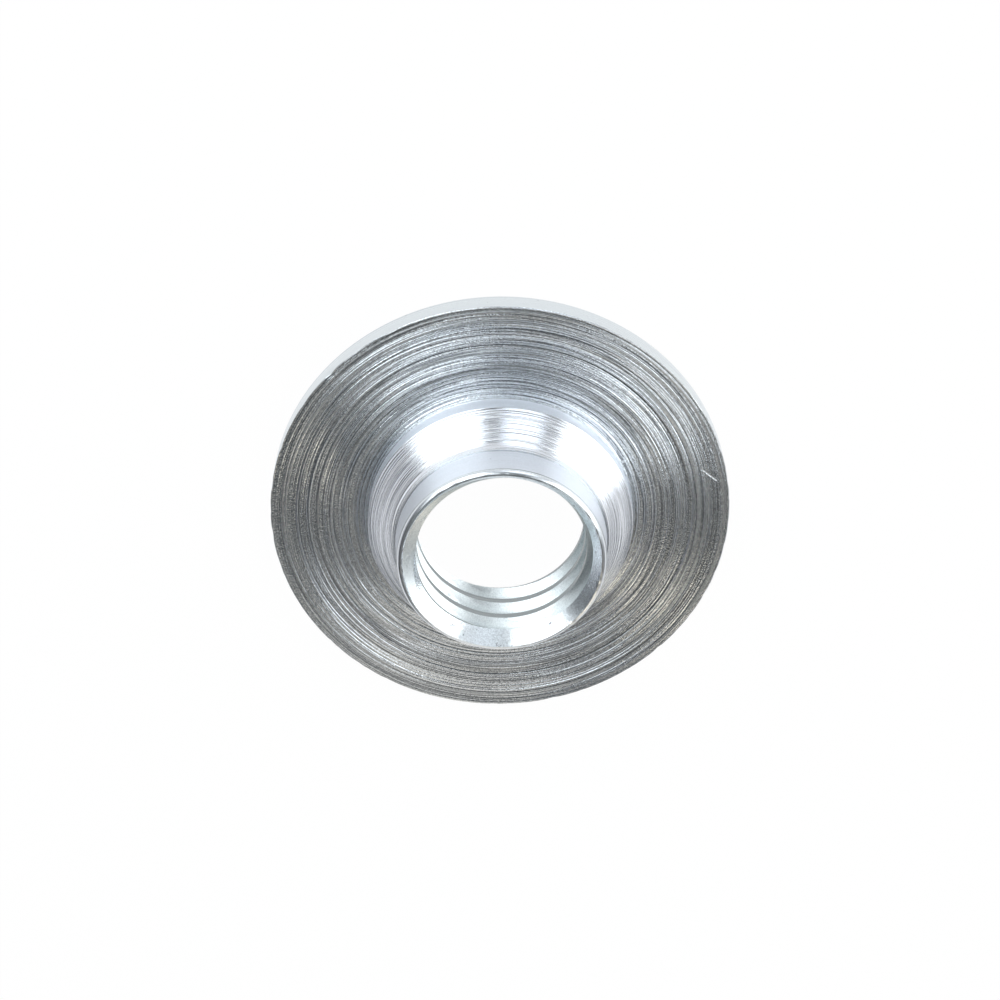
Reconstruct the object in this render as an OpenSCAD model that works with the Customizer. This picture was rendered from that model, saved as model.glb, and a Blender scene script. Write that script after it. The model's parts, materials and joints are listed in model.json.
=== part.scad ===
// Disc retaining nut, turned in one piece: a thin round flange that clamps a
// sanding disc, a stepped and tapered boss that centres the disc and seats in
// the backing pad, and a bore for a 5/8 inch - 11 spindle thread.
// Frame: +Z up, the flat back of the flange on z = 0, the thread axis on Z.
// Dimensions are in millimetres.

/* [Flange] */
// Diameter of the round flange that clamps the disc (mm)
flange_d = 38; // [30:0.5:48]
// Thickness of the flange (mm)
flange_t = 2; // [1.5:0.1:4]
// Edge break on both corners of the rim (mm)
rim_break = 0.12; // [0.05:0.01:0.4]

/* [Boss] */
// Height of the whole boss above the flange face (mm)
boss_h = 7.5; // [7:0.1:10]
// Diameter of the land at the foot, which centres the disc (mm)
land_d = 21.8; // [20:0.1:24]
// Height of that land (mm)
land_h = 1.45; // [0.8:0.05:2]
// Diameter of the neck where the taper runs into it (mm)
neck_foot_d = 17.2; // [17:0.1:18]
// Height above the flange face where the taper ends (mm)
taper_h = 4.05; // [3.5:0.05:4.8]
// Diameter of the neck at the mouth (mm)
neck_top_d = 16.8; // [16.6:0.1:17]
// Radius of the hollow between the taper and the neck (mm)
hollow_r = 1.6; // [0.4:0.1:2]
// Radius on the outer corner of the mouth (mm)
mouth_round = 0.5; // [0.1:0.05:0.6]

/* [Bore] */
// Bore left for the thread, its minor diameter (mm)
bore_d = 13.87; // [13.5:0.01:14]
// Depth of the 45 degree lead-in at the mouth (mm)
lead_in = 1.07; // [0.4:0.01:1.2]
// Diameter of the 90 degree countersink in the back (mm)
back_sink_d = 18; // [16:0.1:19]

/* [Hidden] */
$fn = 128;
flange_r = flange_d / 2;
bore_r = bore_d / 2;
sink_r = back_sink_d / 2;
sink_depth = sink_r - bore_r;
mouth_z = flange_t + boss_h;
land_top = [land_d / 2, flange_t + land_h];
neck_foot = [neck_foot_d / 2, flange_t + taper_h];
neck_top = [neck_top_d / 2, mouth_z];
overcut = 1;

function unit(v) = v / norm(v);

// An arc of radius r that blends the two sides of a corner, one running
// towards a and one towards b: [point on the first side, point on the second
// side, centre].
function blend(corner, a, b, r) =
    let (u = unit(a - corner), v = unit(b - corner), half = acos(u * v) / 2)
    [
        corner + u * r / tan(half),
        corner + v * r / tan(half),
        corner + unit(u + v) * r / sin(half)
    ];

// Half section of the nut with a plain end, in the plane of its axis.
module blank() {
    hollow = blend(neck_foot, land_top, neck_top, hollow_r);
    lip = blend(neck_top, neck_foot, [0, mouth_z], mouth_round);
    difference() {
        polygon([
            [sink_r, 0],
            [flange_r - rim_break, 0],
            [flange_r, rim_break],
            [flange_r, flange_t - rim_break],
            [flange_r - rim_break, flange_t],
            [land_top[0], flange_t],
            land_top,
            hollow[0],
            hollow[1],
            lip[0],
            lip[1],
            [bore_r, mouth_z],
            [bore_r, sink_depth]
        ]);
        translate(hollow[2]) circle(r = hollow_r);
    }
    translate(lip[2]) circle(r = mouth_round);
}

// The 45 degree cut that opens the bore and leaves a thin crest on the mouth.
module lead_in_cut() {
    translate([bore_r, mouth_z - lead_in]) polygon([
        [-overcut, -overcut],
        [lead_in + overcut, lead_in + overcut],
        [-overcut, lead_in + overcut]
    ]);
}

// Half section of the nut.
module section() {
    difference() {
        blank();
        lead_in_cut();
    }
}

// The whole nut: its half section turned about the thread axis.
module retaining_nut() {
    color("silver") rotate_extrude() section();
}

retaining_nut();
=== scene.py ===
"""Looks of a disc retaining nut: thread, tool marks, zinc plating and studio.

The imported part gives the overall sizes. The nut is modelled again as one closed
piece, because its thread and the marks of the turning tool are finer than the
solid carries. All lengths are in metres.
"""

import json
import logging
import math
import random
from dataclasses import dataclass, field
from enum import Enum
from typing import Any

import bmesh
import bpy
from mathutils import Matrix, Vector, noise


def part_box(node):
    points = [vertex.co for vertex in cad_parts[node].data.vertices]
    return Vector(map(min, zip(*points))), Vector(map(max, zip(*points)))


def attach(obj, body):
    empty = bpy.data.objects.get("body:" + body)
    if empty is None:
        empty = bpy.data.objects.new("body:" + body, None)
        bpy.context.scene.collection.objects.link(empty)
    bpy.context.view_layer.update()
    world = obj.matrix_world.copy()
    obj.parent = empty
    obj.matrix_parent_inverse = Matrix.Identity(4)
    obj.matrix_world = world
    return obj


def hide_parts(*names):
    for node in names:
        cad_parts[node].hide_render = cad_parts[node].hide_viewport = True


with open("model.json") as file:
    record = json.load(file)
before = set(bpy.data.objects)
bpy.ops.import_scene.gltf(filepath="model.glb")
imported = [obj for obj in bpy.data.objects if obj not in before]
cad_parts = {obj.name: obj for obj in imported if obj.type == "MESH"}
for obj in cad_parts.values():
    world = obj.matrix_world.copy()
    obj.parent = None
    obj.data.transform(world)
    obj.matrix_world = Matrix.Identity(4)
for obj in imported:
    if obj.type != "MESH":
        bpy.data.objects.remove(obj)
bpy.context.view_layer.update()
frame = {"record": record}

LOG = logging.getLogger("retaining_nut")
MM = 0.001
NODE = "retaining_nut"

Point = tuple[float, float]
Colour = tuple[float, float, float]
WHITE = (1.0, 1.0, 1.0, 1.0)


class Zone(Enum):
    """The differently finished surfaces of the nut, by material index."""

    FACE = 0
    TAPER = 1
    NECK = 2
    LEAD_IN = 3
    THREAD = 4
    # CREST takes a dark base colour: painted shade on the thread's crest flats.
    CREST = 5
    LIP = 6
    RIM = 7


# --------------------------------------------------------------------------
# Sizes
# --------------------------------------------------------------------------


def mount(name: str) -> dict[str, Any]:
    """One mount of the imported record.

    Args:
        name: The mount's name.

    Returns:
        The record's entry for that mount.
    """
    return next(m for m in frame["record"]["mounts"] if m["name"] == name)


@dataclass(frozen=True)
class NutSizes:
    """Sizes of the nut's half section, as radii and heights on the thread axis."""

    flange_r: float
    flange_t: float
    height: float
    land_r: float
    land_h: float
    bore_r: float
    bore_length: float
    rim_break: float = 0.05 * MM
    neck_foot_r: float = 8.6 * MM
    taper_h: float = 4.05 * MM
    neck_top_r: float = 8.4 * MM
    hollow_r: float = 1.6 * MM
    mouth_round: float = 0.5 * MM
    lead_in: float = 1.07 * MM
    sink_r: float = 9.0 * MM

    @classmethod
    def from_frame(cls) -> "NutSizes":
        """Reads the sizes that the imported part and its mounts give.

        Returns:
            The sizes, with those of the finer forms at their defaults.
        """
        low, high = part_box(NODE)
        land = mount("disc_land")["dims"]
        bore = mount("thread")["dims"]
        return cls(
            flange_r=high[0],
            flange_t=mount("clamp_face")["pos_m"][2],
            height=high[2] - low[2],
            land_r=land["r_mm"] * MM,
            land_h=land["length_mm"] * MM,
            bore_r=bore["r_mm"] * MM,
            bore_length=bore["length_mm"] * MM,
        )

    @property
    def land_top(self) -> Vector:
        """Upper corner of the land, where the taper starts."""
        return Vector((self.land_r, self.flange_t + self.land_h))

    @property
    def neck_foot(self) -> Vector:
        """Corner between the taper and the neck, before the hollow blends it."""
        return Vector((self.neck_foot_r, self.flange_t + self.taper_h))

    @property
    def lead_in_foot(self) -> Vector:
        """Where the lead-in meets the bore."""
        return Vector((self.bore_r, self.sink_r - self.bore_r + self.bore_length))

    @property
    def neck_top(self) -> Vector:
        """Outer corner of the mouth, before it is rounded."""
        return Vector((self.neck_top_r, self.lead_in_foot.y + self.lead_in))


@dataclass(frozen=True)
class Arc:
    """A round corner of the half section, turning clockwise about its centre."""

    centre: Vector
    start: Vector
    turn: float

    @classmethod
    def blend(cls, corner: Vector, a: Vector, b: Vector, radius: float) -> "Arc":
        """The arc that blends the two sides of a corner.

        Args:
            corner: Where the two sides meet.
            a: A point on the first side.
            b: A point on the second side.
            radius: Radius of the arc.

        Returns:
            The arc, from the first side to the second.
        """
        u, v = (a - corner).normalized(), (b - corner).normalized()
        half = u.angle(v) / 2
        centre = corner + (u + v).normalized() * radius / math.sin(half)
        start = corner + u * radius / math.tan(half) - centre
        end = corner + v * radius / math.tan(half) - centre
        return cls(centre, start, start.angle_signed(end))

    def cut_at(self, foot: Vector) -> "Arc":
        """The arc up to where the lead-in's line cuts it.

        Args:
            foot: Where that line starts, at 45 degrees outwards and up.

        Returns:
            The shorter arc.
        """
        radius = self.start.length
        gap = (foot.x - foot.y) - (self.centre.x - self.centre.y)
        from_up = math.radians(45) + math.asin(gap / (radius * math.sqrt(2)))
        crest = Vector((math.sin(from_up), math.cos(from_up)))
        return Arc(self.centre, self.start, self.start.angle_signed(crest))

    def points(self, steps: int) -> list[Point]:
        """The arc's points, with both ends."""
        turns = (Matrix.Rotation(-self.turn * i / steps, 2) for i in range(steps + 1))
        return [tuple(self.centre + turn @ self.start) for turn in turns]


# --------------------------------------------------------------------------
# Tool marks
# --------------------------------------------------------------------------


@dataclass(frozen=True)
class Groove:
    """One ring left by the turning tool: where it lies, how wide and how deep."""

    at: float
    width: float
    depth: float

    def height(self, place: float) -> float:
        """Height of the surface at a place near the groove, below zero inside it.

        Args:
            place: Distance along the section.

        Returns:
            The height, with a raised burr on each side of the groove.
        """
        u = (place - self.at) / self.width
        return -self.depth * (1 - 1.6 * u * u) * math.exp(-2.2 * u * u)


@dataclass
class ToolMarks:
    """Rings of one turned surface: a few named ones and many faint ones."""

    start: float
    end: float
    named: tuple[Groove, ...] = ()
    faint: int = 40
    faint_depth: float = 0.004 * MM
    faint_width: float = 0.07 * MM
    fade_length: float = 0.25 * MM
    seed: int = 1
    grooves: list[Groove] = field(init=False)

    def __post_init__(self) -> None:
        """Draws the faint grooves and adds them to the named ones."""
        draw = random.Random(self.seed)
        self.grooves = list(self.named)
        for _ in range(self.faint):
            self.grooves.append(
                Groove(
                    at=draw.uniform(self.start, self.end),
                    width=self.faint_width * draw.uniform(0.6, 1.8),
                    depth=self.faint_depth * draw.uniform(-0.5, 1.6),
                )
            )

    def height(self, place: float) -> float:
        """Sum of all the grooves, which fade out at both ends of the surface.

        Args:
            place: Distance along the section.

        Returns:
            The surface's height there.
        """
        edge = min(place - self.start, self.end - place)
        if edge <= 0:
            return 0.0
        fade = min(1.0, edge / self.fade_length)
        near = (g for g in self.grooves if abs(place - g.at) < 3 * g.width)
        return fade * sum(g.height(place) for g in near)


def ring(at: float, width: float, depth: float) -> Groove:
    """A groove whose sizes are given in millimetres."""
    return Groove(at * MM, width * MM, depth * MM)


# The strongest rings: on the face by their radius, on the taper by their height.
FACE_RINGS = (
    ring(18.72, 0.07, 0.006),
    ring(18.37, 0.10, 0.013),
    ring(17.93, 0.07, 0.007),
    ring(17.68, 0.11, 0.015),
    ring(17.05, 0.11, 0.016),
    ring(16.70, 0.07, 0.008),
    ring(16.50, 0.07, 0.008),
    ring(15.70, 0.11, 0.018),
    ring(15.20, 0.09, 0.011),
    ring(14.70, 0.07, 0.008),
    ring(14.30, 0.07, 0.006),
    ring(13.80, 0.09, 0.009),
    ring(13.50, 0.07, 0.007),
    ring(12.90, 0.07, 0.008),
    ring(12.40, 0.12, 0.016),
    ring(12.20, 0.07, 0.008),
)
TAPER_RINGS = (ring(5.38, 0.09, -0.010), ring(5.70, 0.10, 0.016), ring(6.02, 0.09, -0.010))


# --------------------------------------------------------------------------
# Shader nodes
# --------------------------------------------------------------------------


class Value:
    """A number socket of a node tree that takes part in Python expressions."""

    def __init__(self, graph: "Graph", socket: Any) -> None:
        """Wraps one output socket."""
        self.graph = graph
        self.socket = socket

    def _math(self, operation: str, *others: Any) -> "Value":
        """A Math node on this value and the others.

        Args:
            operation: The node's operation.
            *others: Values or plain numbers for the other inputs.

        Returns:
            The node's result.
        """
        return self.graph.maths(operation, self, *others)

    def __add__(self, other: Any) -> "Value":
        """Sum."""
        return self._math("ADD", other)

    __radd__ = __add__

    def __sub__(self, other: Any) -> "Value":
        """Difference."""
        return self._math("SUBTRACT", other)

    def __rsub__(self, other: Any) -> "Value":
        """Difference from a number on the left."""
        return self.graph.maths("SUBTRACT", other, self)

    def __mul__(self, other: Any) -> "Value":
        """Product."""
        return self._math("MULTIPLY", other)

    __rmul__ = __mul__

    def __truediv__(self, other: Any) -> "Value":
        """Quotient."""
        return self._math("DIVIDE", other)

    def __pow__(self, other: Any) -> "Value":
        """Power."""
        return self._math("POWER", other)

    def clamp(self) -> "Value":
        """The value kept between 0 and 1."""
        return self.step(0.0, 1.0, "LINEAR")

    def step(self, low: float, high: float, kind: str = "SMOOTHSTEP") -> "Value":
        """A ramp from 0 at low to 1 at high.

        Args:
            low: Where the ramp starts.
            high: Where the ramp ends.
            kind: The Map Range node's interpolation.

        Returns:
            The ramped value, kept between 0 and 1.
        """
        node = self.graph.node(
            "ShaderNodeMapRange",
            {"interpolation_type": kind},
            {"Value": self, "From Min": low, "From Max": high},
        )
        return Value(self.graph, node.outputs["Result"])


class Graph:
    """The node tree of one material or world, with short ways to add nodes."""

    def __init__(self, owner: Any) -> None:
        """Clears the owner's tree and keeps hold of it."""
        owner.use_nodes = True
        self.tree = owner.node_tree
        self.tree.nodes.clear()

    def node(
        self,
        kind: str,
        settings: dict[str, Any] | None = None,
        inputs: dict[Any, Any] | None = None,
    ) -> Any:
        """Adds a node.

        Args:
            kind: The node's type.
            settings: Properties of the node, set first.
            inputs: Values, sockets or wrapped values for its inputs, by name or index.

        Returns:
            The new node.
        """
        made = self.tree.nodes.new(kind)
        for name, value in (settings or {}).items():
            setattr(made, name, value)
        for name, value in (inputs or {}).items():
            source = getattr(value, "socket", value)
            if isinstance(source, bpy.types.NodeSocket):
                self.tree.links.new(source, made.inputs[name])
            else:
                made.inputs[name].default_value = source
        return made

    def maths(self, operation: str, *values: Any) -> Value:
        """A Math node on values and numbers."""
        node = self.node("ShaderNodeMath", {"operation": operation}, dict(enumerate(values)))
        return Value(self, node.outputs[0])

    def mix_colour(self, factor: Any, a: Any, b: Any) -> Any:
        """A Mix node between two colours.

        Args:
            factor: 0 gives the first colour, 1 the second.
            a: The first colour or a colour socket.
            b: The second colour or a colour socket.

        Returns:
            The mixed colour's socket.
        """
        a, b = (c if isinstance(c, bpy.types.NodeSocket) else (*c, 1.0) for c in (a, b))
        node = self.node("ShaderNodeMix", {"data_type": "RGBA"}, {0: factor, 6: a, 7: b})
        return node.outputs[2]

    def noise(
        self, vector: Any, scale: float, detail: float = 2.0, roughness: float = 0.5
    ) -> Value:
        """A Noise Texture's value.

        Args:
            vector: The vector socket that it reads.
            scale: The texture's scale.
            detail: Number of octaves added.
            roughness: Share of the finer octaves.

        Returns:
            The noise, around 0.5.
        """
        node = self.node(
            "ShaderNodeTexNoise",
            {"noise_dimensions": "3D"},
            {"Vector": vector, "Scale": scale, "Detail": detail, "Roughness": roughness},
        )
        return Value(self, node.outputs[0])

    def seen(self) -> Value:
        """1 for rays of the camera, of reflections and of transmission, and 0 for others."""
        rays = self.node("ShaderNodeLightPath").outputs
        camera, glossy, passing = (
            Value(self, rays[f"Is {kind} Ray"]) for kind in ("Camera", "Glossy", "Transmission")
        )
        return self.maths("MAXIMUM", camera, self.maths("MAXIMUM", glossy, passing))

    def output(self, shader: Any, kind: str = "ShaderNodeOutputMaterial") -> None:
        """Links a shader socket to the tree's output."""
        self.node(kind, None, {"Surface": shader})


class TurnedCoordinates:
    """Places on a turned surface: along its section and round its axis."""

    def __init__(self, graph: Graph) -> None:
        """Adds the nodes that turn object coordinates into turned ones, in millimetres.

        Args:
            graph: The material's tree.
        """
        self.graph = graph
        source = graph.node("ShaderNodeTexCoord").outputs["Object"]
        scaled = graph.node(
            "ShaderNodeVectorMath", {"operation": "SCALE"}, {0: source, "Scale": 1 / MM}
        )
        self.place = scaled.outputs[0]
        parts = graph.node("ShaderNodeSeparateXYZ", None, {0: self.place})
        self.x, self.y, self.z = (Value(graph, s) for s in parts.outputs)
        self.radius = (self.x * self.x + self.y * self.y) ** 0.5
        self.along = self.radius - self.z

    def rings(self, pitch: float, around: float) -> Any:
        """A vector that changes fast along the section and slowly round the axis.

        Args:
            pitch: Distance along the section for one unit, in millimetres.
            around: How much the vector changes on the way round.

        Returns:
            The vector's socket.
        """
        node = self.graph.node(
            "ShaderNodeCombineXYZ",
            None,
            {
                0: self.along / pitch,
                1: self.x / self.radius * around,
                2: self.y / self.radius * around,
            },
        )
        return node.outputs[0]


@dataclass(frozen=True)
class Scratch:
    """A short straight scratch across the turned face, in millimetres."""

    start: Point
    end: Point
    width: float = 0.14
    depth: float = 0.03

    def reach(self, graph: Graph, turned: TurnedCoordinates) -> Value:
        """Where the scratch is.

        Args:
            graph: The material's tree.
            turned: The coordinates of the turned surface.

        Returns:
            1 in the middle of the scratch and 0 away from it.
        """
        way = Vector(self.end) - Vector(self.start)
        length = way.length
        way.normalize()
        x, y = turned.x - self.start[0], turned.y - self.start[1]
        along = x * way.x + y * way.y
        across = graph.maths("ABSOLUTE", y * way.x - x * way.y)
        ends = along.step(0.0, 0.3) * (1 - along.step(length - 0.15, length))
        return (1 - across.step(0.0, self.width / 2)) * ends


@dataclass(frozen=True)
class TurnedZinc:
    """Bright zinc plating on turned steel.

    Lines, hairs and bands are laid out along the section, grain and pits in space.
    Pitches, sizes and the heights that end in bump are in millimetres. Roughness is
    stretched across the lines, as the tool leaves it, and differs from one to the next.
    The darker lines along the section are painted shade in the tool's grooves; they mix
    towards one dark colour together with the grain's random tone and the pits.
    """

    name: str
    colour: Colour = (0.84, 0.88, 0.91)
    # Dark colour: painted groove shade on the lines, and also the grain's random tone and the
    # pits.
    shade_and_tone_colour: Colour = (0.34, 0.36, 0.38)
    roughness: float = 0.24
    line_spread: float = 0.2
    band_spread: float = 0.15
    anisotropy: float = 0.6
    line_pitch: float = 0.15
    band_pitch: float = 0.7
    line_bump: float = 0.12
    hair_bump: float = 0.05
    grain_bump: float = 0.006
    grain_size: float = 0.12
    grain_tone: float = 0.25
    # How strongly the turning lines are darkened, as painted shade in the grooves.
    line_shade: float = 0.45
    pits: float = 0.5
    pit_level: float = 0.69
    pit_depth: float = 0.01
    swathes: tuple[tuple[float, float], ...] = ()
    scratch: Scratch | None = None

    def swathe(self, graph: Graph, place: Value) -> Value:
        """How torn the metal is, by its place along the section.

        Args:
            graph: The material's tree.
            place: Distance along the section, in millimetres.

        Returns:
            0 where the tool left the metal smooth, up to 1 where it tore it.
        """
        start, end = self.swathes[0][0], self.swathes[-1][0]
        node = graph.node("ShaderNodeValToRGB", None, {0: place.step(start, end, "LINEAR")})
        stops = node.color_ramp.elements
        for i, (at, torn) in enumerate(self.swathes):
            spot = (at - start) / (end - start)
            stop = stops[i] if i < len(stops) else stops.new(spot)
            stop.position = spot
            stop.color = (torn, torn, torn, 1.0)
        return Value(graph, node.outputs[0])

    def build(self) -> bpy.types.Material:
        """Makes the material.

        Returns:
            The new material.
        """
        material = bpy.data.materials.new(self.name)
        graph = Graph(material)
        turned = TurnedCoordinates(graph)
        lines = graph.noise(turned.rings(self.line_pitch, 0.4), 1.0, 1.0, 0.5)
        hairs = graph.noise(turned.rings(self.line_pitch * 0.8, 1.4), 1.0, 1.0)
        bands = graph.noise(turned.rings(self.band_pitch, 0.5), 1.0, 2.0)
        grain = graph.noise(turned.place, 1 / self.grain_size, 1.0)
        blots = graph.noise(turned.place, 2.2, 3.0, 0.7)
        pit = blots.step(self.pit_level, self.pit_level + 0.05) * self.pits
        # Painted shade along the turning lines, where the bands allow it.
        shaded_lines = (1 - lines.step(0.32, 0.48)) * bands.step(0.35, 0.6)
        tone = (grain - 0.35) * self.grain_tone
        # Darkening: painted groove shade plus the grain's random tone and the pits.
        dark = (shaded_lines * self.line_shade + tone + pit).clamp()
        roughness = (
            self.roughness
            + (lines - 0.5) * self.line_spread
            + (bands - 0.5) * self.band_spread
            + pit * 0.2
        )
        scratches = (lines - 0.5) * self.line_bump + (hairs - 0.5) * self.hair_bump
        if self.swathes:
            scratches = scratches * (self.swathe(graph, turned.radius) + 0.5)
        height = scratches + grain * self.grain_bump - pit * self.pit_depth
        if self.scratch:
            cut = self.scratch.reach(graph, turned)
            dark = (dark - cut).clamp()
            roughness = roughness + cut * 0.3
            height = height - cut * self.scratch.depth
        bump = graph.node(
            "ShaderNodeBump", None, {"Strength": 1.0, "Distance": MM, "Height": height}
        )
        shader = graph.node(
            "ShaderNodeBsdfPrincipled",
            None,
            {
                "Base Color": graph.mix_colour(dark, self.colour, self.shade_and_tone_colour),
                "Metallic": 1.0,
                "Roughness": roughness,
                "Anisotropic": self.anisotropy,
                "Anisotropic Rotation": 0.25,
                "Normal": bump.outputs[0],
            },
        )
        graph.output(shader.outputs[0])
        return material


# How torn the flange face is, from the land to the rim: radius in millimetres and share.
FACE_SWATHES: tuple[Point, ...] = (
    (10.90, 0.9),
    (12.30, 0.7),
    (12.36, 0.0),
    (12.46, 0.0),
    (12.54, 0.7),
    (13.48, 0.7),
    (13.54, 0.1),
    (13.70, 0.1),
    (13.76, 0.8),
    (14.20, 0.8),
    (14.28, 0.2),
    (14.38, 0.9),
    (15.08, 0.8),
    (15.17, 0.2),
    (15.28, 0.9),
    (15.60, 0.9),
    (15.66, 0.0),
    (15.76, 0.0),
    (15.84, 1.0),
    (16.50, 0.8),
    (16.60, 0.1),
    (16.70, 0.8),
    (17.00, 0.7),
    (17.08, 0.0),
    (17.20, 1.0),
    (17.66, 0.7),
    (17.74, 0.1),
    (17.82, 0.8),
    (18.30, 0.7),
    (18.40, 0.1),
    (18.90, 0.4),
)
FACE_SCRATCH = Scratch((-16.50, -4.42), (-17.83, -3.34))

FINISHES: dict[Zone, TurnedZinc] = {
    Zone.FACE: TurnedZinc(
        "turned_face_zinc",
        colour=(0.79, 0.83, 0.86),
        grain_bump=0.02,
        grain_size=0.13,
        grain_tone=1.7,
        line_shade=0.65,
        scratch=FACE_SCRATCH,
        swathes=FACE_SWATHES,
    ),
    Zone.TAPER: TurnedZinc(
        "turned_taper_zinc",
        colour=(0.88, 0.91, 0.95),
        roughness=0.23,
        line_spread=0.2,
        band_spread=0.1,
        anisotropy=0.3,
        line_bump=0.04,
        hair_bump=0.01,
        grain_bump=0.001,
        line_shade=0.6,
    ),
    Zone.NECK: TurnedZinc(
        "smooth_neck_zinc",
        colour=(0.92, 0.95, 1.0),
        roughness=0.5,
        line_spread=0.1,
        band_spread=0.1,
        anisotropy=0.3,
        line_bump=0.004,
        hair_bump=0.001,
        grain_bump=0.0006,
        line_shade=0.1,
        pits=0.2,
    ),
    # Lead-in: base colour paler and bluer than the face's, as painted light for the bore's
    # mouth, which gets little light from the lamps.
    Zone.LEAD_IN: TurnedZinc(
        "turned_lead_in_zinc",
        colour=(0.92, 0.97, 1.0),
        roughness=0.24,
        line_spread=0.3,
        band_spread=0.2,
        anisotropy=0.3,
        line_bump=0.012,
        hair_bump=0.006,
        grain_bump=0.012,
        grain_tone=1.2,
        line_shade=0.3,
        pits=1.0,
        pit_level=0.64,
    ),
    # Thread: base colour and dark colour raised paler, as painted light that brightens the
    # bore.
    Zone.THREAD: TurnedZinc(
        "tapped_thread_zinc",
        colour=(0.94, 0.99, 1.0),
        shade_and_tone_colour=(0.5, 0.55, 0.58),
        roughness=0.4,
        line_spread=0.3,
        band_spread=0.2,
        anisotropy=0.3,
        line_bump=0.025,
        hair_bump=0.01,
        grain_bump=0.012,
        grain_tone=1.0,
        line_shade=0.2,
        pit_level=0.66,
    ),
    Zone.LIP: TurnedZinc(
        "turned_lip_zinc",
        roughness=0.3,
        line_spread=0.2,
        band_spread=0.1,
        anisotropy=0.3,
        line_pitch=0.1,
        line_bump=0.01,
        hair_bump=0.004,
        grain_bump=0.002,
        grain_tone=0.5,
        line_shade=0.7,
    ),
    Zone.RIM: TurnedZinc(
        "turned_rim_zinc",
        colour=(0.74, 0.79, 0.82),
        roughness=0.3,
        line_spread=0.2,
        band_spread=0.1,
        anisotropy=0.3,
        line_bump=0.01,
        hair_bump=0.004,
        grain_bump=0.001,
        line_shade=0.15,
    ),
    # Crest flats: a dark base colour as painted shade, standing in for the shadowed floor under
    # the bore that they reflect.
    Zone.CREST: TurnedZinc(
        "drilled_crest_zinc",
        colour=(0.37, 0.40, 0.41),
        shade_and_tone_colour=(0.22, 0.24, 0.25),
        roughness=0.45,
        anisotropy=0.3,
        line_bump=0.01,
        line_shade=0.5,
    ),
}


# --------------------------------------------------------------------------
# The nut
# --------------------------------------------------------------------------


@dataclass
class Thread:
    """The 5/8 inch - 11 thread of the bore, cut by one long helical groove."""

    bore_r: float
    height: float
    pitch: float = 25.4 / 11 * MM
    major_r: float = 25.4 * 5 / 16 * MM
    root_flat: float = 0.55 * MM
    inner_r: float = 6.45 * MM
    start_at: float = 3.82 * MM
    start_angle: float = math.radians(90)
    flank: float = math.radians(30)
    steps_per_turn: int = 128
    spare_turns: float = 1.0

    def cutter(self) -> bpy.types.Object:
        """Makes the closed solid that cuts the groove.

        Returns:
            The cutter, which runs past both ends of the bore.
        """
        turns = math.ceil(self.height / self.pitch + 2 * self.spare_turns)
        below = math.ceil(self.start_at / self.pitch + self.spare_turns)
        middle = self.start_at - below * self.pitch - self.groove_centre
        half_root = self.root_flat / 2
        half_open = half_root + (self.major_r - self.inner_r) * math.tan(self.flank)
        outline = (
            (self.inner_r, middle - half_open),
            (self.major_r, middle - half_root),
            (self.major_r, middle + half_root),
            (self.inner_r, middle + half_open),
        )
        bm = bmesh.new()
        turn = Matrix.Rotation(self.start_angle, 3, "Z")
        face = bm.faces.new([bm.verts.new(turn @ Vector((r, 0, z))) for r, z in outline])
        bmesh.ops.spin(
            bm,
            geom=[face],
            cent=(0, 0, 0),
            axis=(0, 0, 1),
            dvec=(0, 0, self.pitch / self.steps_per_turn),
            angle=turns * math.tau,
            steps=turns * self.steps_per_turn,
        )
        bmesh.ops.recalc_face_normals(bm, faces=bm.faces)
        return new_object("thread_cutter", bm)

    @property
    def groove_centre(self) -> float:
        """Distance from a crest's lower edge down to the middle of the groove below it."""
        return self.root_flat / 2 + (self.major_r - self.bore_r) * math.tan(self.flank)


def new_object(name: str, bm: bmesh.types.BMesh) -> bpy.types.Object:
    """Turns a bmesh into an object of the scene and frees it.

    Args:
        name: Name of the object and of its mesh.
        bm: The finished bmesh.

    Returns:
        The new object.
    """
    mesh = bpy.data.meshes.new(name)
    bm.to_mesh(mesh)
    bm.free()
    made = bpy.data.objects.new(name, mesh)
    bpy.context.scene.collection.objects.link(made)
    return made


@dataclass(frozen=True)
class Nick:
    """A small dent, by its angle round the axis and its place in the section.

    The angle is in degrees, the rest in millimetres. A negative depth raises a burr.
    """

    angle: float
    radius: float
    height: float
    reach: float
    depth: float

    @property
    def centre(self) -> Vector:
        """The middle of the dent."""
        a = math.radians(self.angle)
        return Vector((math.cos(a) * self.radius, math.sin(a) * self.radius, self.height)) * MM

    def press(self, mesh: bpy.types.Mesh) -> None:
        """Pushes the mesh's surface in around the dent's middle.

        Args:
            mesh: The mesh, whose vertices near the dent move along their normals.
        """
        for vertex in mesh.vertices:
            away = (vertex.co - self.centre).length / (self.reach * MM)
            if away < 1:
                vertex.co -= vertex.normal * self.depth * MM * (1 - away * away) ** 2


NICKS = (
    Nick(angle=-44.0, radius=18.95, height=2.0, reach=0.45, depth=0.14),
    Nick(angle=-91.2, radius=8.2, height=9.45, reach=0.22, depth=0.03),
    Nick(angle=-152.4, radius=11.25, height=2.0, reach=0.3, depth=-0.05),
    Nick(angle=3.0, radius=8.05, height=9.48, reach=0.25, depth=0.06),
    Nick(angle=7.5, radius=8.0, height=9.48, reach=0.22, depth=0.05),
    Nick(angle=166.0, radius=8.05, height=9.48, reach=0.22, depth=0.05),
    Nick(angle=64.0, radius=7.6, height=9.1, reach=0.4, depth=0.06),
    Nick(angle=95.5, radius=7.8, height=9.3, reach=0.32, depth=0.04),
)


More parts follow.
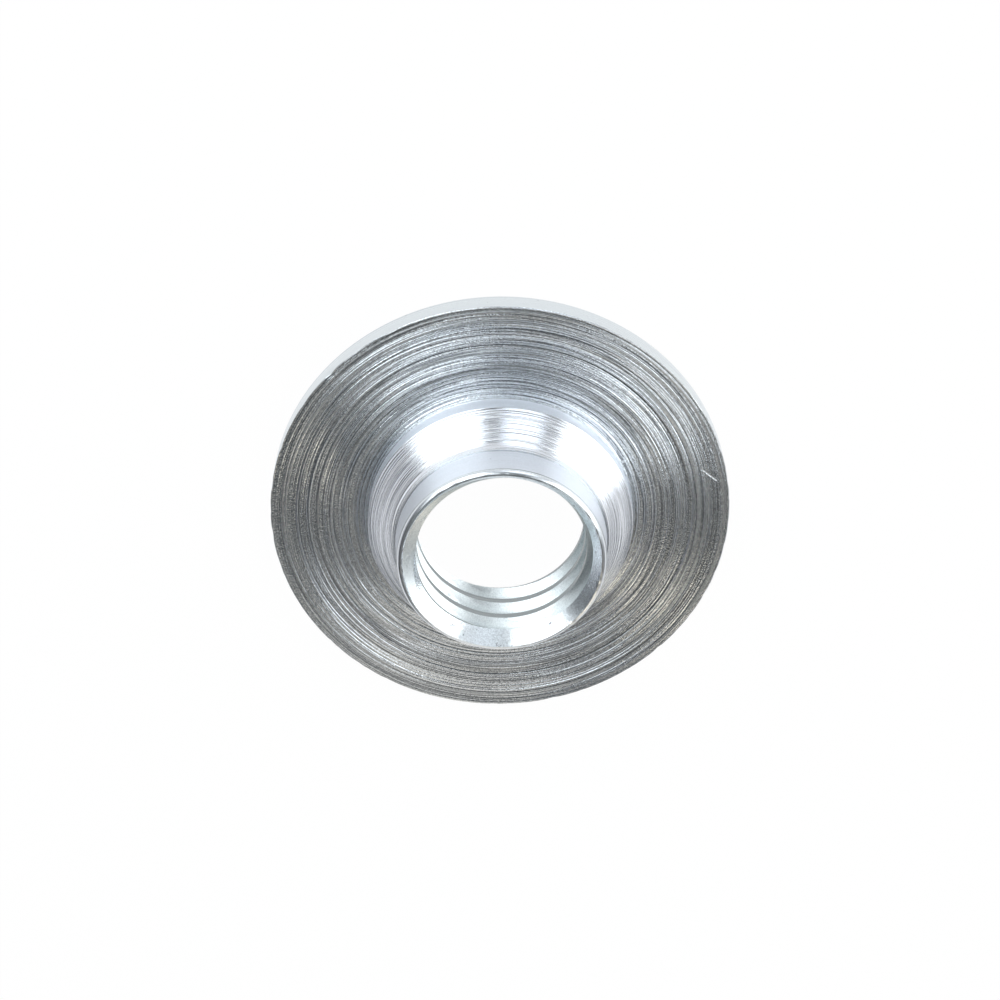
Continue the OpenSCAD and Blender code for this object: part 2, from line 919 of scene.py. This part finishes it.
@dataclass
class RetainingNut:
    """The whole nut as one closed piece, with its thread and tool marks."""

    sizes: NutSizes
    segments: int = 256
    face_step: float = 0.06 * MM
    taper_step: float = 0.06 * MM
    lead_in_step: float = 0.12 * MM
    plain_step: float = 0.5 * MM
    rim_wear: float = 0.09 * MM
    mouth_wear: float = 0.05 * MM

    def outline(self) -> list[tuple[Vector, float]]:
        """Corners of the half section, each with the step for the side after it.

        Returns:
            Points of the closed outline, from the back of the bore outwards.
        """
        s = self.sizes
        broken = s.flange_r - s.rim_break
        hollow = Arc.blend(s.neck_foot, s.land_top, s.neck_top, s.hollow_r).points(10)
        mouth_middle = Vector((0, s.neck_top.y))
        rounding = Arc.blend(s.neck_top, s.neck_foot, mouth_middle, s.mouth_round)
        lip = rounding.cut_at(s.lead_in_foot).points(8)
        whole = 1.0
        corners = [
            ((s.sink_r, 0), self.plain_step),
            ((broken, 0), whole),
            ((s.flange_r, s.rim_break), self.plain_step),
            ((s.flange_r, s.flange_t - s.rim_break), whole),
            ((broken, s.flange_t), self.face_step),
            ((s.land_r, s.flange_t), self.plain_step),
            (s.land_top, self.taper_step),
            *((p, whole) for p in hollow[:-1]),
            (hollow[-1], self.plain_step),
            *((p, whole) for p in lip[:-1]),
            (lip[-1], self.lead_in_step),
            (s.lead_in_foot, whole),
            ((s.bore_r, s.sink_r - s.bore_r), whole),
        ]
        return [(Vector(p), step) for p, step in corners]

    def turned_body(self) -> bpy.types.Object:
        """Turns the half section about the axis.

        Returns:
            The body with a plain bore and smooth faces.
        """
        bm = bmesh.new()
        outline = self.outline()
        corners = [bm.verts.new((p.x, 0, p.y)) for p, _ in outline]
        sides: dict[int, list[bmesh.types.BMEdge]] = {}
        for i, (_, step) in enumerate(outline):
            edge = bm.edges.new((corners[i], corners[(i + 1) % len(corners)]))
            sides.setdefault(round(edge.calc_length() / step) - 1, []).append(edge)
        for cuts, edges in sides.items():
            if cuts > 0:
                bmesh.ops.subdivide_edges(bm, edges=edges, cuts=cuts)
        bmesh.ops.spin(
            bm,
            geom=bm.verts[:] + bm.edges[:],
            cent=(0, 0, 0),
            axis=(0, 0, 1),
            angle=math.tau,
            steps=self.segments,
            use_merge=True,
        )
        bmesh.ops.recalc_face_normals(bm, faces=bm.faces)
        return new_object("nut", bm)

    def cut_thread(self, body: bpy.types.Object) -> None:
        """Cuts the helical groove out of the body and keeps the result as its mesh.

        Args:
            body: The nut with its plain bore.
        """
        thread = Thread(self.sizes.bore_r, self.sizes.height)
        cutter = thread.cutter()
        cut = body.modifiers.new("thread", "BOOLEAN")
        cut.operation = "DIFFERENCE"
        cut.solver = "MANIFOLD"
        cut.object = cutter
        graph = bpy.context.evaluated_depsgraph_get()
        result = bpy.data.meshes.new_from_object(body.evaluated_get(graph))
        body.modifiers.clear()
        old, body.data = body.data, result
        bpy.data.meshes.remove(old)
        tool = cutter.data
        bpy.data.objects.remove(cutter)
        bpy.data.meshes.remove(tool)

    def mark(self, body: bpy.types.Object) -> None:
        """Raises and sinks the turned faces by the marks of the tool.

        Args:
            body: The nut with its plain bore.
        """
        s = self.sizes
        face = ToolMarks(
            start=s.land_r + 0.1 * MM,
            end=s.flange_r - s.rim_break,
            named=FACE_RINGS,
            faint=110,
            faint_depth=0.005 * MM,
            faint_width=0.09 * MM,
            seed=7,
        )
        taper = ToolMarks(
            start=s.flange_t + s.land_h,
            end=s.flange_t + s.taper_h + 0.2 * MM,
            named=TAPER_RINGS,
            faint=30,
            faint_depth=0.003 * MM,
            seed=11,
        )
        slope = math.atan2(s.land_r - s.neck_foot_r, s.taper_h - s.land_h)
        out, up = math.cos(slope), math.sin(slope)
        for vertex in body.data.vertices:
            x, y, z = vertex.co
            radius = math.hypot(x, y)
            ring_place = Vector((x, y, 0)) / radius * 1.3 + Vector((0, 0, radius / MM))
            wander = 0.7 + 0.6 * noise.noise(ring_place)
            if abs(z - s.flange_t) < 1e-7:
                vertex.co.z += face.height(radius) * wander
            elif z > s.flange_t + s.land_h and radius > s.neck_foot_r:
                sink = taper.height(z) * wander * 0.6
                vertex.co.x += x / radius * out * sink
                vertex.co.y += y / radius * out * sink
                vertex.co.z += up * sink

    def wear_edges(self, body: bpy.types.Object) -> None:
        """Rubs the rim's upper edge and the mouth's crest unevenly, as handling does.

        Args:
            body: The nut with its plain bore.
        """
        s = self.sizes
        crest_z = s.height - self.mouth_wear
        for vertex in body.data.vertices:
            x, y, z = vertex.co
            radius = math.hypot(x, y)
            place = Vector((x, y, 0)) / radius
            worn = max(0.0, noise.noise(place * 16) + 0.6 * noise.noise(place * 45))
            if z > crest_z:
                vertex.co.z -= worn * self.mouth_wear
            elif radius > s.flange_r - 2 * s.rim_break and z > s.flange_t / 2:
                vertex.co -= place * worn * self.rim_wear

    def zone(self, radius: float, height: float) -> Zone:
        """The finish of a place in the half section.

        Args:
            radius: Distance from the axis.
            height: Distance from the back.

        Returns:
            The zone that a face with its middle there belongs to.
        """
        s = self.sizes
        near = 0.02 * MM
        if height < s.flange_t + near and radius > s.sink_r:
            return Zone.FACE if height > s.flange_t - 2 * near else Zone.RIM
        if radius - height < s.lead_in_foot.x - s.lead_in_foot.y + near:
            return Zone.LEAD_IN
        # Faces at the bore's radius are the thread's crest flats, which get the dark
        # painted-shade finish.
        if radius < s.bore_r + near:
            return Zone.CREST
        if radius < s.bore_r + s.lead_in - 0.05 * MM:
            return Zone.THREAD
        if height > s.neck_top.y - s.mouth_round:
            return Zone.LIP
        in_taper = s.land_h < height - s.flange_t < s.taper_h + 0.4 * MM
        if in_taper and radius > s.neck_foot_r - near:
            return Zone.TAPER
        return Zone.NECK

    def dress(self, body: bpy.types.Object) -> None:
        """Gives each face its finish and shades the turned faces smooth.

        Args:
            body: The nut with its thread.
        """
        mesh = body.data
        mesh.materials.clear()
        for zone in Zone:
            mesh.materials.append(FINISHES[zone].build())
        for polygon in mesh.polygons:
            x, y, z = polygon.center
            polygon.material_index = self.zone(math.hypot(x, y), z).value
        mesh.shade_smooth()
        mesh.set_sharp_from_angle(angle=math.radians(32))

    def build(self) -> bpy.types.Object:
        """Makes the finished nut.

        Returns:
            The nut's object, which stands for the CAD node.
        """
        body = self.turned_body()
        self.mark(body)
        self.wear_edges(body)
        for nick in NICKS:
            nick.press(body.data)
        self.cut_thread(body)
        self.dress(body)
        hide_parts(NODE)
        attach(body, "root")
        return body


# --------------------------------------------------------------------------
# Studio
# --------------------------------------------------------------------------


@dataclass(frozen=True)
class Panel:
    """A soft rectangular light that faces the nut.

    Azimuth is measured from +X towards +Y, elevation from the floor, and width,
    height and roll are angles as seen from the nut, all in degrees.
    """

    name: str
    azimuth: float
    elevation: float
    width: float
    height: float
    radiance: float
    colour: Colour = (1.0, 1.0, 1.0)
    roll: float = 0.0
    distance: float = 0.45

    def hang(self, target: Vector) -> None:
        """Puts the light in place.

        Args:
            target: The point that it faces.
        """
        a, e = math.radians(self.azimuth), math.radians(self.elevation)
        back = Vector((math.cos(a) * math.cos(e), math.sin(a) * math.cos(e), math.sin(e)))
        light = bpy.data.lights.new(self.name, "AREA")
        light.shape = "RECTANGLE"
        light.size = 2 * self.distance * math.tan(math.radians(self.width / 2))
        light.size_y = 2 * self.distance * math.tan(math.radians(self.height / 2))
        light.energy = 4 * light.size * light.size_y * self.radiance
        light.color = self.colour
        made = bpy.data.objects.new(self.name, light)
        made.location = target + back * self.distance
        facing = back.to_track_quat("Z", "Y").to_matrix()
        turn = Matrix.Rotation(math.radians(self.roll), 3, "Z")
        made.rotation_euler = (facing @ turn).to_euler()
        made.visible_camera = False
        bpy.context.scene.collection.objects.link(made)


@dataclass
class Studio:
    """Floor, surround, lights and camera round the nut.

    The horizon's band is where it turns grey, as shares of the surround's radius.
    """

    target: Vector
    floor_r: float = 1.5
    surround_r: float = 1.2
    surround_colour: Colour = (0.085, 0.091, 0.096)
    horizon_colour: Colour = (0.77, 0.78, 0.86)
    horizon_band: Point = (0.06, 0.22)
    floor_colour: Colour = (0.85, 0.85, 0.86)
    floor_white: float = 0.975
    ambient: float = 0.35
    panels: tuple[Panel, ...] = (
        Panel("key_left", -49, 38, 46, 56, 2.1, (0.93, 0.975, 1.0), -10),
        Panel("key_right", -163, 32, 49, 58, 2.1, (0.95, 0.98, 1.0), 10),
        Panel("front", -106, 19, 27, 26, 1.6, (0.88, 0.94, 1.0)),
        Panel("warm_strip", 122, 28, 11, 22, 2.0, (1.0, 0.9, 0.74)),
        Panel("warm_fill", 83, 29, 30, 56, 0.6, (1.0, 0.94, 0.85)),
    )

    def floor(self) -> bpy.types.Object:
        """Makes the plain pale floor, which still takes the nut's shadow.

        Returns:
            The floor, which can't be seen from below.
        """
        bm = bmesh.new()
        bmesh.ops.create_circle(bm, cap_ends=True, radius=self.floor_r, segments=96)
        bmesh.ops.translate(bm, verts=bm.verts, vec=(0, 0, -0.02 * MM))
        made = new_object("floor", bm)
        material = bpy.data.materials.new("pale_floor")
        graph = Graph(material)
        seen = graph.seen()
        matt = graph.node("ShaderNodeBsdfDiffuse", None, {"Color": (*self.floor_colour, 1.0)})
        white = graph.node("ShaderNodeEmission", None, {"Color": WHITE, "Strength": 1.0})
        mixed = graph.node(
            "ShaderNodeMixShader",
            None,
            {0: seen * self.floor_white, 1: matt.outputs[0], 2: white.outputs[0]},
        )
        clear = graph.node("ShaderNodeBsdfTransparent")
        side = graph.node("ShaderNodeNewGeometry").outputs["Backfacing"]
        shader = graph.node(
            "ShaderNodeMixShader", None, {0: side, 1: mixed.outputs[0], 2: clear.outputs[0]}
        )
        graph.output(shader.outputs[0])
        material.cycles.emission_sampling = "NONE"
        made.data.materials.append(material)
        return made

    def surround(self) -> bpy.types.Object:
        """Makes the surround that the metal reflects, grey above a paler horizon.

        Returns:
            The surround, which only reflections see.
        """
        bm = bmesh.new()
        bmesh.ops.create_uvsphere(bm, u_segments=48, v_segments=24, radius=self.surround_r)
        made = new_object("surround", bm)
        material = bpy.data.materials.new("grey_surround")
        graph = Graph(material)
        grey, pale = (
            graph.node("ShaderNodeEmission", None, {"Color": (*colour, 1.0), "Strength": 1.0})
            for colour in (self.surround_colour, self.horizon_colour)
        )
        place = graph.node("ShaderNodeTexCoord").outputs["Object"]
        parts = graph.node("ShaderNodeSeparateXYZ", None, {0: place})
        height = Value(graph, parts.outputs[2]) / self.surround_r
        low = 1 - height.step(*self.horizon_band)
        mixed = graph.node(
            "ShaderNodeMixShader", None, {0: low, 1: grey.outputs[0], 2: pale.outputs[0]}
        )
        graph.output(mixed.outputs[0])
        material.cycles.emission_sampling = "NONE"
        made.data.materials.append(material)
        for ray in ("camera", "diffuse", "transmission", "volume_scatter", "shadow"):
            setattr(made, f"visible_{ray}", False)
        return made

    def world(self) -> None:
        """Sets a white background over a plain level of light."""
        world = bpy.data.worlds.new("studio")
        bpy.context.scene.world = world
        graph = Graph(world)
        seen = graph.seen()
        strength = seen * (1 - self.ambient) + self.ambient
        sky = graph.node("ShaderNodeBackground", None, {"Color": WHITE, "Strength": strength})
        graph.output(sky.outputs[0], "ShaderNodeOutputWorld")

    def camera(self) -> None:
        """Places the camera, which looks steeply down with the near side at the top."""
        orbit, elevation, roll = math.radians(2.142), math.radians(60.24), math.radians(178.14)
        data = bpy.data.cameras.new("camera")
        data.lens = 74.28
        data.sensor_width = 36.0
        data.clip_start, data.clip_end = 0.01, 10.0
        made = bpy.data.objects.new("camera", data)
        back = Vector(
            (
                math.sin(orbit) * math.cos(elevation),
                -math.cos(orbit) * math.cos(elevation),
                math.sin(elevation),
            )
        )
        aim = Vector((0.04, -1.56, 2.0)) * MM
        made.location = aim + back * 170.25 * MM
        facing = back.to_track_quat("Z", "Y").to_matrix()
        made.rotation_euler = (facing @ Matrix.Rotation(roll, 3, "Z")).to_euler()
        bpy.context.scene.collection.objects.link(made)
        bpy.context.scene.camera = made

    def build(self) -> None:
        """Sets up the whole studio."""
        self.floor()
        self.surround()
        for panel in self.panels:
            panel.hang(self.target)
        self.world()
        self.camera()
        bpy.context.scene.view_settings.view_transform = "Standard"


def main() -> None:
    """Builds the nut and its studio."""
    logging.basicConfig(level=logging.INFO, format="%(name)s: %(message)s")
    sizes = NutSizes.from_frame()
    nut = RetainingNut(sizes).build()
    nut.data.calc_loop_triangles()
    LOG.info("%s: %d triangles", nut.name, len(nut.data.loop_triangles))
    Studio(target=Vector((0, 0, sizes.height / 2))).build()


if __name__ == "__main__":
    main()
